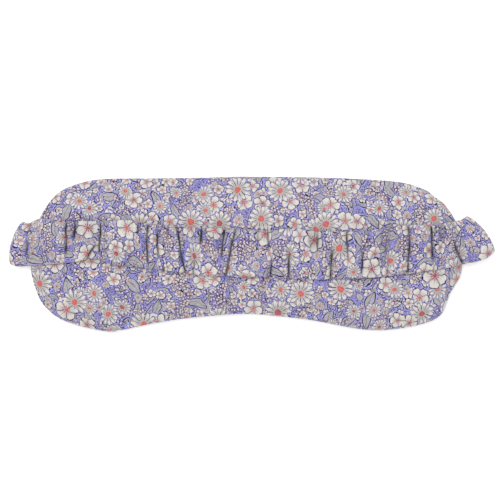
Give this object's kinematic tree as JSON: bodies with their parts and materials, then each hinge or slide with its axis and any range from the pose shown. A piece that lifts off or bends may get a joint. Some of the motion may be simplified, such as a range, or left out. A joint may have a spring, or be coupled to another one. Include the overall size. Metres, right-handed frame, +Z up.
{
  "type": "eye pillow",
  "caption": "Seed-filled eye pillow with a nose notch, covered in printed cotton, with a ruched elastic strap that holds it on the head.",
  "frame": {"origin": "under the middle of the object's bounding box, on the surface that it lies on", "axes": "+X along the length of the pillow and strap, +Y towards the straight edge and away from the nose notch, +Z up from the lying face to the strap"},
  "size_m": [0.2416, 0.0775, 0.022],
  "materials": {
    "printed_cotton": "matt woven cotton with a small floral print",
    "strap_cotton": "the same printed cotton, ruched",
    "elastic": "flat woven elastic",
    "thread": "spun polyester thread",
    "calico": "unbleached calico",
    "calico_thread": "spun polyester thread",
    "seed": "loose linseed with dried lavender"
  },
  "bodies": {
    "pillow": {"front_panel": "printed_cotton", "back_panel": "printed_cotton", "perimeter_seam": "thread", "closing_seam": "thread", "inner_bag_front": "calico", "inner_bag_back": "calico", "inner_bag_seam": "calico_thread", "filling": "seed", "strap_cover_left_end": "strap_cotton", "elastic_left_end": "elastic", "left_tack": "thread", "strap_cover_right_end": "strap_cotton", "elastic_right_end": "elastic", "right_tack": "thread"},
    "strap_left": {"strap_cover_left": "strap_cotton", "elastic_left": "elastic", "strap_seam_left": "thread"},
    "strap_middle": {"strap_cover_middle": "strap_cotton", "elastic_middle": "elastic", "strap_seam_middle": "thread"},
    "strap_right": {"strap_cover_right": "strap_cotton", "elastic_right": "elastic", "strap_seam_right": "thread"}
  },
  "joints": [
    {"name": "strap_lift", "type": "slide", "parent": "pillow", "child": "strap_middle", "axis": [0, 0, 1], "range_m": [0, 0.12], "stiffness_N_per_m": 30},
    {"name": "strap_left_swing", "type": "hinge", "parent": "pillow", "child": "strap_left", "pos_m": [-0.113, 0.0048, 0.0134], "axis": [0, -1, 0], "range_deg": [0, 52]},
    {"name": "strap_right_swing", "type": "hinge", "parent": "pillow", "child": "strap_right", "pos_m": [0.113, 0.0048, 0.0134], "axis": [0, 1, 0], "range_deg": [0, 52]}
  ],
  "couplings": [
    {"joint": "strap_left_swing", "follows": "strap_lift", "rad_per_m": 7.5},
    {"joint": "strap_right_swing", "follows": "strap_lift", "rad_per_m": 7.5}
  ]
}
